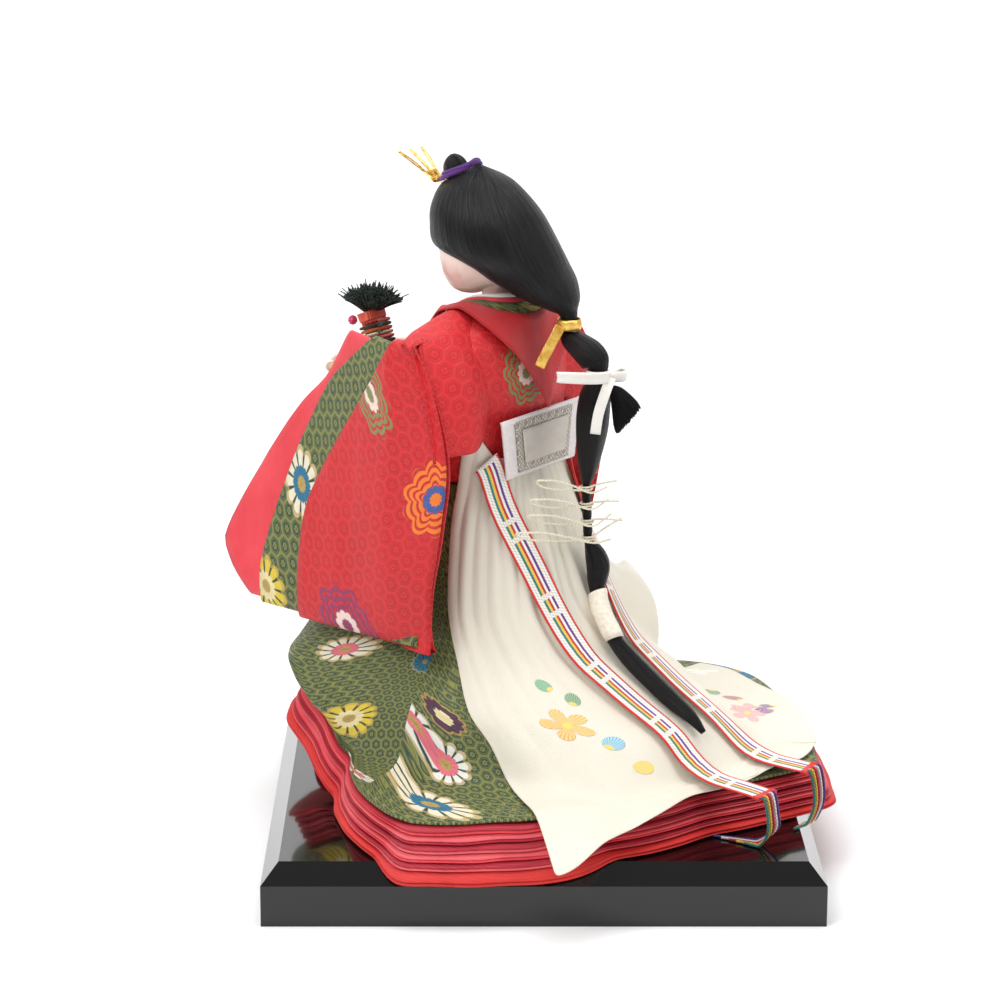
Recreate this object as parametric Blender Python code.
"""Hina doll: a seated court lady with a long train, on a lacquered board.

The board stands square to the axes with its underside at z = 0. Every piece of the doll
is placed in the doll's own frame: an empty on the board's top, under her neck, turned so
that local X is her left, local Y is her back and local Z is up.
"""
import math

import bmesh
import bpy
from mathutils import Vector

# Board
BOARD_WIDTH = 0.225
BOARD_DEPTH = 0.225
BOARD_HEIGHT = 0.025
BOARD_SIDE = 0.017
BOARD_BEVEL = 0.007

# Place of the doll on the board
DOLL_X = -0.0186
DOLL_Y = 0.0085
DOLL_TURN_DEG = 235.0

# Clearance between pieces that lie on each other
GAP = 0.0003

# Layered hem of the robes
HEM_REACH = 0.1505
HEM_LAYERS = 5
HEM_LAYER_THICK = 0.0018
HEM_LAYER_GAP = 0.0008
HAKAMA_THICK = 0.003
HEM_STAGGER = 0.0011
HEM_LIFT = 0.024
HEM_ANGLES = 26
JACKET_ANGLES = 24
BEVEL_DROP = 0.0066

# Front of the trousers, seen between the lapels
LAP_HALF_WIDTH = 0.038
LAP_DEPTH = 0.034
LAP_HEIGHT = 0.019
LAP_BACK = -0.0475
LAP_AROUND = 24

# Outer robe
WAIST_HEIGHT = 0.1335
ROBE_SIDE = 0.066
ROBE_FRONT = 0.088
ROBE_BACK = 0.098
ROBE_THICK = 0.0016
ROBE_FOOT_RISE = 0.003
ROBE_FOOT_SPREAD = 0.005
ROBE_TRAIL = 0.118
ROBE_RING_STEP = 0.003

# Seat block, padding and torso
SEAT_RADIUS = 0.044
PADDING_CLEARANCE = 0.003
PADDING_SHOULDER = 0.046
TORSO_HALF_WIDTH = 0.032
TORSO_HALF_DEPTH = 0.018
TORSO_RISE = 0.0665
TORSO_TOP = WAIST_HEIGHT + TORSO_RISE
TORSO_AROUND = 24
PEG_RADIUS = 0.003
PEG_CLEARANCE = 0.0004
PEG_LENGTH = 0.028
HOLE_EXTRA = 0.002

# Jacket
JACKET_HALF_WIDTH = 0.0415
JACKET_HALF_DEPTH = 0.023
JACKET_LENGTH = 0.069
JACKET_TOP = WAIST_HEIGHT + JACKET_LENGTH
JACKET_THICK = 0.0011

# Sleeves
SLEEVE_SIDE = 0.0515
SLEEVE_DROP = 0.0675
SLEEVE_BOTTOM = WAIST_HEIGHT - SLEEVE_DROP
SLEEVE_HEIGHT = 0.129
SLEEVE_FRONT = 0.12
SLEEVE_THICK = 0.0008
SLEEVE_HALF_WIDTH = 0.0082
SLEEVE_STEP = 0.0019
ELBOW_BACK = -0.015

# Arms and hands
ARM_HEIGHT_SHARE = 0.83
ARM_LEVEL = SLEEVE_BOTTOM + SLEEVE_HEIGHT * ARM_HEIGHT_SHARE
ARM_RADIUS = 0.0018
ARM_AROUND = 12
ARMHOLE_AROUND = 16
ARMHOLE_RADIUS = 0.0028
ARMHOLE_BACK = -0.008
ELBOW_ROUND = 0.004
HAND_LENGTH = 0.0212
HAND_WIDTH = 0.0075
HAND_THICK = 0.0045

# Train, belt and ribbons
TRAIN_THICK = 0.0006
TRAIN_CLEARANCE = 0.0012
TRAIN_FOLD = 0.0012
TRAIN_FLARE = 0.019
TRAIN_FOLDS = 6
TRAIN_ACROSS = 24
BELT_HALF_WIDTH = 0.0295
BELT_RISE = 0.002
BELT_BOTTOM = WAIST_HEIGHT + BELT_RISE
BELT_HEIGHT = 0.0255
BELT_THICK = 0.0014
PATCH_HALF_WIDTH = 0.0215
PATCH_HEIGHT = 0.0215
PATCH_THICK = 0.0007
RIBBON_WIDTH = 0.0118
RIBBON_THICK = 0.0009
RIBBON_CLEARANCE = 0.0005
TASSEL_STRANDS = 5
TASSEL_DIAMETER = 0.0011
TASSEL_PITCH = 0.0021
BINDING_DEPTH = 0.0022
BINDING_THICK = 0.0018
TRAIN_TOP = TRAIN_CLEARANCE + TRAIN_FOLD + TRAIN_THICK

# Head and hair
HEAD_HALF_WIDTH = 0.018
HEAD_HALF_DEPTH = 0.0215
CHIN_RISE = 0.004
HEAD_BOTTOM = JACKET_TOP + CHIN_RISE
HEAD_HEIGHT = 0.049
NECK_RADIUS = 0.006
NECK_SINK = 0.001
NECK_BOTTOM = JACKET_TOP - NECK_SINK
NECK_LENGTH = 0.015
FACE_OPENING_BACK = 0.029
FACE_OPENING_RISE = 0.0105
FACE_OPENING_HEIGHT = HEAD_BOTTOM + FACE_OPENING_RISE
FACE_OPENING_WIDE = 0.0165
FACE_OPENING_DEEP = 0.013
FACE_OPENING_HIGH = 0.025
HAIR_HALF_WIDTH = 0.0205
HAIR_DEPTH = 0.069
HAIR_HANG = 0.0105
HAIR_BOTTOM = HEAD_BOTTOM - HAIR_HANG
HAIR_HEIGHT = 0.064
KNOT_RADIUS = 0.0053
KNOT_SINK = 0.0055
KNOT_HEIGHT = HAIR_BOTTOM + HAIR_HEIGHT - KNOT_SINK
KNOT_BACK = -0.019
KNOT_LEAN = 0.003
KNOT_LENGTH = 0.018
CORD_RADIUS = 0.0009
PIN_WIDTH = 0.0095
PIN_THICK = 0.0008
PIN_PLATE = 0.0065
PIN_LENGTH = 0.0195
PIN_PRONGS = 3
PIN_PRONG = 0.0009
PIN_SPREAD = 0.0042
PIN_STEM = 0.0016
PIN_STEM_LENGTH = 0.0022
PIN_TILT_DEG = 38.0
PIN_BACK = -0.0283
PIN_DROP = 0.0029
PIN_HEIGHT = KNOT_HEIGHT - PIN_DROP

# Tail of hair, its ties, strings and wrap
TAIL_REACH = 0.12
TAIL_DROP_SHARE = 0.6122449
TAIL_DROP = HAIR_BOTTOM * TAIL_DROP_SHARE
TAIL_RADIUS = 0.0068
TIE_CLEARANCE = 0.0006
TIE_STEPS = 3
LOOP_STEPS = 2
HAIR_RIBBON_WIDTH = 0.0043
HAIR_RIBBON_THICK = 0.0005
END_FACE_SHARE = -0.8
BOW_KNOT = 0.0024
BOW_KNOT_DEPTH_SHARE = 0.6
BOW_KNOT_RISE_SHARE = 0.46
STRING_RADIUS = 0.00045
STRING_RISE = 0.0013
STRING_PASS = 0.0024
STRING_LOOP_HALF = 0.0022
STRING_START_DEG = 110.0
STRING_STEP_DEG = 48.0
STRING_STEPS = 10
WRAP_RADIUS = 0.0036
WRAP_WALL = 0.0005
TUFT_SIDE = 0.001
TUFT_LENGTH = 0.016
TUFT_SLOPE_SHARE = 1.2

# Fan
FAN_WIDTH = 0.0132
FAN_DEPTH = 0.0082
FAN_LENGTH = 0.034
FAN_BACK = -0.0515
FAN_GRIP = 0.01207
FAN_BOTTOM = ARM_LEVEL - FAN_GRIP
FAN_TILT_DEG = 22.0
FAN_SIDE = 0.001
WINDING_RADIUS = 0.00065
WINDING_PITCH = 0.00178
WINDING_TURNS = 11
WINDING_STEPS = 10
TUFT_RADIUS = 0.0085
BEAD_RADIUS = 0.0021
BEAD_DROP = 0.0015
BEAD_TURN_DEG = 60.0
FAN_FULLNESS = 0.6

TAU = 2.0 * math.pi

# Angle from her left towards her back, in degrees, and the hem's reach as a share
HEM_REACH_SHARES = (
    (-90, 0.56), (-53, 0.585), (-41, 0.53), (-20, 0.53), (-6, 0.64), (6, 0.75),
    (16, 0.85), (34, 0.807), (48, 0.81), (64, 0.815), (80, 0.81), (90, 0.87), (98, 0.93),
    (104, 1.0), (112, 0.955), (122, 0.93), (138, 0.913), (156, 0.95), (164, 0.93),
    (172, 0.877), (184, 0.69), (200, 0.545), (221, 0.53), (233, 0.585), (270, 0.56),
)
HEM_LIFT_SHARES = (
    (-90, 1.0), (-53, 0.92), (-41, 0.42), (-20, 0.0), (200, 0.0), (221, 0.42), (233, 0.92),
    (270, 1.0),
)
# Height, half width, front and back of the robe's body, as shares of its sizes
ROBE_RING_SHARES = (
    (0.262, 1.0, 1.0, 1.0), (0.337, 0.93, 0.989, 0.82), (0.449, 0.7, 0.955, 0.61),
    (0.539, 0.615, 0.84, 0.515), (0.637, 0.575, 0.705, 0.43), (0.861, 0.535, 0.409, 0.3),
    (1.0, 0.515, 0.261, 0.214),
)
# Height between waist and neck, half width, front and back of the jacket
JACKET_RING_SHARES = (
    (0.0, 0.83, 1.03, 0.87), (0.2, 0.9, 1.04, 0.88), (0.45, 0.97, 0.97, 0.92), (0.66, 1.0, 0.83, 0.91),
    (0.81, 0.95, 0.67, 0.87), (0.92, 0.76, 0.5, 0.8), (1.0, 0.5, 0.36, 0.7),
)
TORSO_RING_SHARES = (
    (0.0, 0.87, 0.95), (0.33, 0.9, 0.92), (0.6, 1.0, 0.85), (0.8, 0.97, 0.7), (0.92, 0.72, 0.5),
    (1.0, 0.3, 0.42),
)
# Front and back shares of the unlike fullness of a ring's corners
FRONT_FULLNESS = 3.0
BACK_FULLNESS = 2.3

COLOURS = {
    "lacquer": (0.012, 0.012, 0.014, 0.08),
    "vermilion": (0.86, 0.11, 0.05, 0.6),
    "crimson": (0.52, 0.02, 0.05, 0.6),
    "pink": (0.9, 0.35, 0.36, 0.6),
    "brocade": (0.12, 0.25, 0.15, 0.55),
    "red_brocade": (0.72, 0.03, 0.04, 0.55),
    "plain_red": (0.8, 0.05, 0.04, 0.55),
    "cream": (0.87, 0.84, 0.72, 0.6),
    "white_silk": (0.9, 0.89, 0.86, 0.5),
    "silver": (0.66, 0.63, 0.57, 0.35),
    "skin": (0.9, 0.75, 0.68, 0.35),
    "hair": (0.01, 0.01, 0.012, 0.4),
    "gold": (0.85, 0.6, 0.2, 0.25),
    "purple": (0.22, 0.07, 0.36, 0.6),
    "straw": (0.7, 0.58, 0.33, 0.9),
    "wood": (0.62, 0.46, 0.28, 0.7),
    "coral": (0.9, 0.35, 0.22, 0.5),
    "tuft_green": (0.03, 0.13, 0.07, 0.7),
}


def clear_scene():
    """Remove every object that the file holds"""
    for item in list(bpy.data.objects):
        bpy.data.objects.remove(item)


def material(name):
    """A plain finish in the piece's own colour"""
    found = bpy.data.materials.get(name)
    if found:
        return found
    red, green, blue, roughness = COLOURS[name]
    made = bpy.data.materials.new(name)
    made.use_nodes = True
    shader = made.node_tree.nodes["Principled BSDF"]
    shader.inputs["Base Color"].default_value = (red, green, blue, 1.0)
    shader.inputs["Roughness"].default_value = roughness
    shader.inputs["Metallic"].default_value = 1.0 if name in ("gold", "silver") else 0.0
    return made


def interpolate(table, place, column=1):
    """Value of a table's column at a place between its rows"""
    if place <= table[0][0]:
        return table[0][column]
    for low, high in zip(table, table[1:]):
        if place <= high[0]:
            share = (place - low[0]) / (high[0] - low[0])
            return low[column] + share * (high[column] - low[column])
    return table[-1][column]


def wrapped(angle):
    """The same direction between -90 and 270 degrees"""
    return (angle + 90.0) % 360.0 - 90.0


def polar(angle, radius, height):
    """A point of the doll's frame"""
    turn = math.radians(angle)
    return Vector((radius * math.cos(turn), radius * math.sin(turn), height))


def ring_radius(angle, side, front, back):
    """Distance to a rounded ring that is fuller in front than behind"""
    turn = math.radians(angle)
    fullness = FRONT_FULLNESS if math.sin(turn) < 0 else BACK_FULLNESS
    reach = front if math.sin(turn) < 0 else back
    total = abs(math.cos(turn) / side) ** fullness + abs(math.sin(turn) / reach) ** fullness
    return total ** (-1.0 / fullness)


def body_object(name, bm, finish, parent, smooth_deg=40.0):
    """Turn a closed mesh into a named object with its faces outward"""
    bmesh.ops.remove_doubles(bm, verts=bm.verts, dist=GAP * GAP)
    bmesh.ops.recalc_face_normals(bm, faces=bm.faces)
    mesh = bpy.data.meshes.new(name)
    bm.to_mesh(mesh)
    bm.free()
    mesh.shade_smooth()
    mesh.set_sharp_from_angle(angle=math.radians(smooth_deg))
    mesh.materials.append(material(finish))
    made = bpy.data.objects.new(name, mesh)
    bpy.context.scene.collection.objects.link(made)
    made.parent = parent
    return made


def loft(name, rings, finish, parent, wrap=False, smooth_deg=40.0, sheet=False):
    """Closed solid through rings of equal counts, end to end or back to the first ring"""
    bm = bmesh.new()
    rows = [[bm.verts.new(point) for point in ring] for ring in rings]
    pairs = list(zip(rows, rows[1:]))
    if wrap:
        pairs.append((rows[-1], rows[0]))
    for number, (low, high) in enumerate(pairs):
        count = len(low)
        inside = wrap and 2 * number >= len(pairs)
        for index in range(count):
            after = (index + 1) % count
            corners = (low[index], low[after], high[after], high[index])
            bm.faces.new(corners[1:] + corners[:1] if inside or (sheet and 2 * index >= count) else corners)
    if sheet:
        for row in (rows[0], rows[-1]):
            for index in range(len(row) // 2 - 1):
                bm.faces.new((row[index], row[index + 1], row[-index - 2], row[-index - 1]))
    elif not wrap:
        for row in (rows[0], rows[-1]):
            centre = bm.verts.new(sum((vert.co for vert in row), Vector()) / len(row))
            for index, vert in enumerate(row):
                bm.faces.new((vert, row[(index + 1) % len(row)], centre))
    return body_object(name, bm, finish, parent, smooth_deg)


def boolean(target, tool, operation):
    """Cut or join with the exact solver and drop the tool"""
    step = target.modifiers.new(operation.lower(), "BOOLEAN")
    step.operation = operation
    step.object = tool
    bpy.context.view_layer.update()
    graph = bpy.context.evaluated_depsgraph_get()
    result = bpy.data.meshes.new_from_object(target.evaluated_get(graph))
    target.modifiers.clear()
    target.data = result
    bpy.data.objects.remove(tool)


def offset_path(points, distance):
    """Points of a plane outline moved along its own normals; (radius, height) pairs"""
    moved = []
    for index, (radius, height) in enumerate(points):
        before = points[max(index - 1, 0)]
        after = points[min(index + 1, len(points) - 1)]
        run = Vector((after[0] - before[0], after[1] - before[1])).normalized()
        normal = Vector((run.y, -run.x))
        moved.append((radius + distance * normal.x, height + distance * normal.y))
    return moved


def spline_point(before, start, end, after, t):
    """Place on a smooth curve between the middle two of four points"""
    return 0.5 * (2 * start + (end - before) * t + (2 * before - 5 * start + 4 * end - after) * t ** 2
                  + (3 * start - before - 3 * end + after) * t ** 3)


def catmull(points, steps):
    """Smooth curve through the route's own points"""
    route = [Vector(point) for point in points]
    padded = [2 * route[0] - route[1]] + route + [2 * route[-1] - route[-2]]
    curve = []
    for index in range(1, len(padded) - 2):
        before, start, end, after = padded[index - 1:index + 3]
        for step in range(steps):
            t = step / steps
            curve.append(spline_point(before, start, end, after, t))
    curve.append(route[-1])
    return curve


def tube(name, points, radius, finish, parent, resolution=2):
    """Round cord along a route, as a curve with filled caps"""
    data = bpy.data.curves.new(name, "CURVE")
    data.dimensions = "3D"
    data.bevel_depth = radius
    data.bevel_resolution = resolution
    data.use_fill_caps = True
    data.render_resolution_u = 0
    spline = data.splines.new("POLY")
    spline.points.add(len(points) - 1)
    for place, point in zip(spline.points, points):
        place.co = (*point, 1.0)
    data.materials.append(material(finish))
    made = bpy.data.objects.new(name, data)
    bpy.context.scene.collection.objects.link(made)
    made.parent = parent
    return made


def strip(name, centres, sides, width, thick, finish, parent):
    """Flat band along a route; each side vector gives the direction of its width"""
    rings = []
    last = len(centres) - 1
    for index, centre in enumerate(centres):
        run = (centres[min(index + 1, last)] - centres[max(index - 1, 0)]).normalized()
        side = (sides[index] - run * sides[index].dot(run)).normalized()
        up = run.cross(side).normalized()
        across = side * width / 2
        lift = up * thick / 2
        rings.append([centre - across - lift, centre + across - lift, centre + across + lift,
                      centre - across + lift])
    return loft(name, rings, finish, parent)


# Hem layers


def hem_reach(angle):
    """Distance of the lowest hem's edge"""
    return HEM_REACH * interpolate(HEM_REACH_SHARES, wrapped(angle))


def hem_lift(angle):
    """Height at which the hems lie over her knees"""
    return HEM_LIFT * interpolate(HEM_LIFT_SHARES, wrapped(angle))


def near_distance(angle):
    """How fast a direction of the doll's frame comes to the board's near edge"""
    turn = math.radians(DOLL_TURN_DEG + angle)
    return -math.sin(turn)


def edge_radius(angle):
    """Radius at which a direction leaves the flat of the board's top, near side"""
    speed = near_distance(angle)
    room = BOARD_DEPTH / 2 - BOARD_BEVEL + DOLL_Y
    return room / speed if speed > GAP else HEM_REACH


def hem_drop(angle, radius):
    """How far the cloth sinks over the board's near bevel"""
    past = radius * near_distance(angle) - DOLL_Y - (BOARD_DEPTH / 2 - BOARD_BEVEL)
    return BEVEL_DROP * min(max(past / BOARD_BEVEL, 0.0), 1.0)


HEM_BEND_SHARE = 0.93


HEM_CORNERS = [16.0, 104.0]


def crosses_edge(angle):
    """Whether the hem reaches past the flat of the board"""
    return hem_reach(angle) > edge_radius(angle)


def hem_angles():
    """Directions of the seams, with one more where the hem crosses the board's edge"""
    angles = sorted([360.0 * step / HEM_ANGLES for step in range(HEM_ANGLES + 1)] + HEM_CORNERS)
    found = []
    for low, high in zip(angles, angles[1:]):
        if crosses_edge(low) != crosses_edge(high):
            first, second = low, high
            for _ in range(30):
                middle = (first + second) / 2
                if crosses_edge(middle) == crosses_edge(low):
                    first = middle
                else:
                    second = middle
            found.append(first if crosses_edge(high) else second)
    return sorted(angles[:-1] + found)


def hem_bend(angle, outer):
    """Where a layer bends, and how steeply it sinks from there"""
    full = hem_reach(angle)
    edge = edge_radius(angle) - GAP
    if edge + GAP > full - GAP:
        near = abs(edge + GAP - full) < GAP
        return (outer - GAP if near else outer * HEM_BEND_SHARE), 0.0
    if outer < edge + GAP:
        return outer - GAP, 0.0
    return edge, hem_drop(angle, full) / (full - edge)


def hem_layer(name, base, thick, stagger, finish, parent):
    """One flat layer round the seat, its edge bent over the board's bevel"""
    rings = [[] for _ in range(6)]
    for angle in hem_angles():
        outer = hem_reach(angle) - stagger
        bend, slope = hem_bend(angle, outer)
        inner = SEAT_RADIUS + GAP + GAP
        rise = base + hem_lift(angle)
        fallen = rise - slope * (outer - bend)
        rings[0].append(polar(angle, outer, fallen))
        rings[1].append(polar(angle, outer, fallen + thick))
        rings[2].append(polar(angle, bend, rise + thick))
        rings[3].append(polar(angle, inner, rise + thick))
        rings[4].append(polar(angle, inner, rise))
        rings[5].append(polar(angle, bend, rise))
    return loft(name, rings, finish, parent, wrap=True)


HEM_TINTS = ("crimson", "pink", "crimson", "pink", "crimson")
HEM_PITCH = HEM_LAYER_THICK + HEM_LAYER_GAP
STACK_TOP = GAP + HAKAMA_THICK + HEM_LAYERS * HEM_PITCH
ROBE_HEM_STAGGER = (HEM_LAYERS + 1) * HEM_STAGGER


def build_hem(parent):
    hem_layer("hakama_hem", GAP, HAKAMA_THICK, 0.0, "vermilion", parent)
    for index in range(HEM_LAYERS):
        base = GAP + HAKAMA_THICK + index * HEM_PITCH + HEM_LAYER_GAP
        hem_layer(f"hem_layer_{index + 1}", base, HEM_LAYER_THICK, (index + 1) * HEM_STAGGER,
                  HEM_TINTS[index % len(HEM_TINTS)], parent)
    build_lap(parent)


LAP_RING_SHARES = ((0.0, 1.0), (0.62, 0.96), (1.0, 0.72))


def build_lap(parent):
    """Front of the trousers on the board between the lapels"""
    rings = []
    for height, spread in LAP_RING_SHARES:
        ring = []
        for step in range(LAP_AROUND):
            turn = TAU * step / LAP_AROUND
            across = LAP_HALF_WIDTH * spread * math.cos(turn)
            along = LAP_BACK - LAP_DEPTH / 2 + LAP_DEPTH / 2 * spread * math.sin(turn)
            ring.append(Vector((across, along, GAP + LAP_HEIGHT * height)))
        rings.append(ring)
    loft("hakama_lap", rings, "vermilion", parent)


# Robe


def robe_profile(angle):
    """Upper face of the robe from the hem to the waist, as (radius, height) pairs"""
    top = STACK_TOP + HEM_LAYER_GAP + ROBE_THICK + hem_lift(angle)
    hem = hem_reach(angle) - ROBE_HEM_STAGGER
    widest = ring_radius(angle, ROBE_SIDE, ROBE_FRONT, ROBE_BACK)
    trail = ring_radius(angle, ROBE_SIDE + ROBE_FOOT_SPREAD, ROBE_FRONT + ROBE_FOOT_SPREAD, ROBE_TRAIL)
    foot = min(trail, (hem + widest) / 2)
    bend, slope = hem_bend(angle, hem)
    middle = bend if foot < bend else (hem + foot) / 2
    pairs = [(hem, top - slope * max(hem - middle, 0.0)), (middle, top), (foot, top + ROBE_FOOT_RISE)]
    for index, (height, side, front, back) in enumerate(ROBE_RING_SHARES):
        radius = ring_radius(angle, side * ROBE_SIDE, front * ROBE_FRONT, back * ROBE_BACK)
        least = top + ROBE_FOOT_RISE + ROBE_RING_STEP * (index + 1)
        pairs.append((radius, max(height * WAIST_HEIGHT, least)))
    return pairs


def build_robe(parent):
    """Outer robe, a shell of one cloth from hem to waist"""
    outer = []
    inner = []
    for angle in hem_angles():
        pairs = robe_profile(angle)
        under = offset_path(pairs, -ROBE_THICK)
        under[0] = (pairs[0][0], pairs[0][1] - ROBE_THICK)
        under[1] = (pairs[1][0], pairs[1][1] - ROBE_THICK)
        under[-1] = (under[-1][0], pairs[-1][1])
        outer.append([polar(angle, radius, height) for radius, height in pairs])
        inner.append([polar(angle, radius, height) for radius, height in under])
    rings = [list(ring) for ring in zip(*outer)]
    rings += [list(ring) for ring in reversed(list(zip(*inner)))]
    loft("outer_robe", rings, "brocade", parent, wrap=True)


def build_core(parent):
    """Seat block, padding and straw torso inside the robes"""
    seat_top = STACK_TOP + GAP
    rings = [[polar(360.0 * step / HEM_ANGLES, SEAT_RADIUS, height) for step in range(HEM_ANGLES)]
             for height in (GAP, seat_top)]
    loft("seat_block", rings, "wood", parent)
    rings = [[polar(360.0 * step / HEM_ANGLES, SEAT_RADIUS, height) for step in range(HEM_ANGLES)]
             for height in (seat_top + GAP, PADDING_SHOULDER)]
    top = WAIST_HEIGHT - ROBE_THICK
    inset = ROBE_THICK + PADDING_CLEARANCE
    for height, side, front, back in ROBE_RING_SHARES[2:]:
        level = min(height * WAIST_HEIGHT, top)
        rings.append([polar(angle, ring_radius(angle, side * ROBE_SIDE, front * ROBE_FRONT, back * ROBE_BACK)
                            - inset, level)
                      for angle in (360.0 * step / HEM_ANGLES for step in range(HEM_ANGLES))])
    loft("skirt_padding", rings, "straw", parent)
    base = top + GAP
    rings = []
    for height, wide, deep in TORSO_RING_SHARES:
        ring = []
        for step in range(TORSO_AROUND):
            turn = TAU * step / TORSO_AROUND
            ring.append(Vector((TORSO_HALF_WIDTH * wide * math.cos(turn),
                                TORSO_HALF_DEPTH * deep * math.sin(turn),
                                base + (TORSO_TOP - base) * height)))
        rings.append(ring)
    torso = loft("torso_core", rings, "straw", parent)
    hole = PEG_RADIUS + PEG_CLEARANCE
    bore = [[polar(360.0 * step / TORSO_AROUND, hole, height) for step in range(TORSO_AROUND)]
            for height in (TORSO_TOP - PEG_LENGTH - HOLE_EXTRA, TORSO_TOP + HOLE_EXTRA)]
    cutter = loft("neck_hole", bore, "wood", parent)
    boolean(torso, cutter, "DIFFERENCE")


JACKET_SEAMS = [360.0 * step / JACKET_ANGLES for step in range(JACKET_ANGLES)]


def build_jacket(parent):
    """Short jacket, a shell from the waist to the neck opening"""
    bottom = WAIST_HEIGHT + GAP
    rings = []
    for wall in (0.0, JACKET_THICK):
        rows = []
        for height, side, front, back in JACKET_RING_SHARES:
            level = bottom + (JACKET_TOP - bottom) * height
            rows.append([polar(angle, ring_radius(angle, side * JACKET_HALF_WIDTH,
                                                  front * JACKET_HALF_DEPTH,
                                                  back * JACKET_HALF_DEPTH) - wall, level)
                         for angle in JACKET_SEAMS])
        rings += rows if wall == 0.0 else rows[::-1]
    loft("jacket", rings, "red_brocade", parent, wrap=True)


# Sleeves, arms and hands

SLEEVE_IN_LOW_SHARE = 0.12
SLEEVE_IN_HIGH_SHARE = 0.42
# Height share, back edge and front edge as shares of the sleeve's forward reach
RED_SLEEVE_SHARES = (
    (0.0, 0.08, -0.57), (0.2, 0.12, -0.575), (0.41, 0.14, -0.545), (0.63, 0.145, -0.4),
    (0.85, 0.08, -0.22), (1.0, 0.0, -0.11),
)
GREEN_SLEEVE_SHARES = (
    (0.0, 0.0, -0.77), (0.16, 0.0, -0.78), (0.48, 0.0, -0.68), (0.65, 0.01, -0.6), (0.82, 0.02, -0.485),
    (0.91, 0.01, -0.37), (1.0, 0.0, -0.25),
)
PINK_SLEEVE_SHARES = (
    (0.0, -0.02, -0.83), (0.1, -0.02, -0.95), (0.19, -0.02, -1.0), (0.46, -0.02, -0.86), (0.71, 0.01, -0.67),
    (0.83, 0.01, -0.53), (1.0, 0.0, -0.42),
)


def sleeve_side(back, height_share):
    """Distance of the sleeve's middle from the doll's middle plane"""
    ahead = max(0.0, ELBOW_BACK - back)
    return SLEEVE_SIDE - (SLEEVE_IN_LOW_SHARE + SLEEVE_IN_HIGH_SHARE * height_share) * ahead


SLEEVE_ROUND = 16
SLEEVE_STATIONS = 4
SLEEVE_FLATNESS = 0.6


def sleeve_ring(edges, station, half_width, bottom, height, trim, hand):
    """One cross ring of a flat hanging sleeve: its back, its elbow, its middle or its mouth"""
    ring = []
    for step in range(SLEEVE_ROUND):
        turn = TAU * step / SLEEVE_ROUND
        share = (1.0 - math.cos(turn)) / 2
        back = interpolate(edges, share, 1) * SLEEVE_FRONT
        front = interpolate(edges, share, 2) * SLEEVE_FRONT
        elbow = max(ELBOW_BACK, front + GAP)
        along = (back, elbow, (elbow + front) / 2, front)[station]
        swell = math.copysign(abs(math.sin(turn)) ** SLEEVE_FLATNESS, math.sin(turn))
        level = bottom + trim + (height - 2 * trim) * share
        across = sleeve_side(along, (level - SLEEVE_BOTTOM) / SLEEVE_HEIGHT) + (half_width - trim) * swell
        ring.append(Vector((hand * across, along, level)))
    return ring


def build_sleeve(name, edges, inset, finish, hand, parent):
    """Hollow sleeve, open at its mouth and at the back"""
    half_width = SLEEVE_HALF_WIDTH - inset
    bottom = SLEEVE_BOTTOM + inset
    height = SLEEVE_HEIGHT - 2 * inset
    rings = []
    for trim in (0.0, SLEEVE_THICK):
        rows = [sleeve_ring(edges, step, half_width, bottom, height, trim, hand)
                for step in range(SLEEVE_STATIONS)]
        rings += rows if trim == 0.0 else rows[::-1]
    loft(name, rings, finish, parent, wrap=True)


ARM_REACH_SHARES = (-0.16, -0.24, -0.32, -0.42, -0.53)


def arm_route(hand):
    """Middle line of an arm from the torso through the sleeve to the wrist"""
    outer = SLEEVE_SIDE
    route = [(TORSO_HALF_WIDTH - ARM_RADIUS, ARMHOLE_BACK), (outer - ELBOW_ROUND, ARMHOLE_BACK),
             (outer - ELBOW_ROUND / 3, ARMHOLE_BACK - ELBOW_ROUND / 3), (outer, ARMHOLE_BACK - ELBOW_ROUND)]
    for share in ARM_REACH_SHARES:
        back = share * SLEEVE_FRONT
        route.append((sleeve_side(back, ARM_HEIGHT_SHARE), back))
    return [Vector((hand * side, back, ARM_LEVEL)) for side, back in route]


def build_arm(label, hand, parent):
    """Wire arm wrapped in paper, and the hand on its end"""
    points = arm_route(hand)
    tube(f"arm_core_{label}", points, ARM_RADIUS, "straw", parent, 1)
    wrist = points[-1] - Vector((0.0, ARM_RADIUS / 2 + GAP, 0.0))
    centres = [wrist - Vector((hand * inward, ahead, 0.0)) * HAND_LENGTH
               for ahead, inward, _, _ in HAND_RING_SHARES]
    last = len(centres) - 1
    rings = []
    for index, (_, _, wide, thick) in enumerate(HAND_RING_SHARES):
        run = (centres[min(index + 1, last)] - centres[max(index - 1, 0)]).normalized()
        side = Vector((0, 0, 1)).cross(run)
        rings.append([centres[index] + side * (HAND_THICK / 2 * thick * math.cos(turn))
                      + Vector((0, 0, HAND_WIDTH / 2 * wide * math.sin(turn)))
                      for turn in (TAU * step / ARM_AROUND for step in range(ARM_AROUND))])
    loft(f"hand_{label}", rings, "skin", parent)


# Reach ahead and inward along the hand, its width and thickness
HAND_RING_SHARES = (
    (0.0, 0.0, 0.58, 0.9), (0.12, 0.1, 0.75, 1.0), (0.17, 0.36, 1.0, 0.95), (0.04, 0.7, 0.95, 0.8),
    (-0.28, 0.98, 0.6, 0.55),
)


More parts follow.
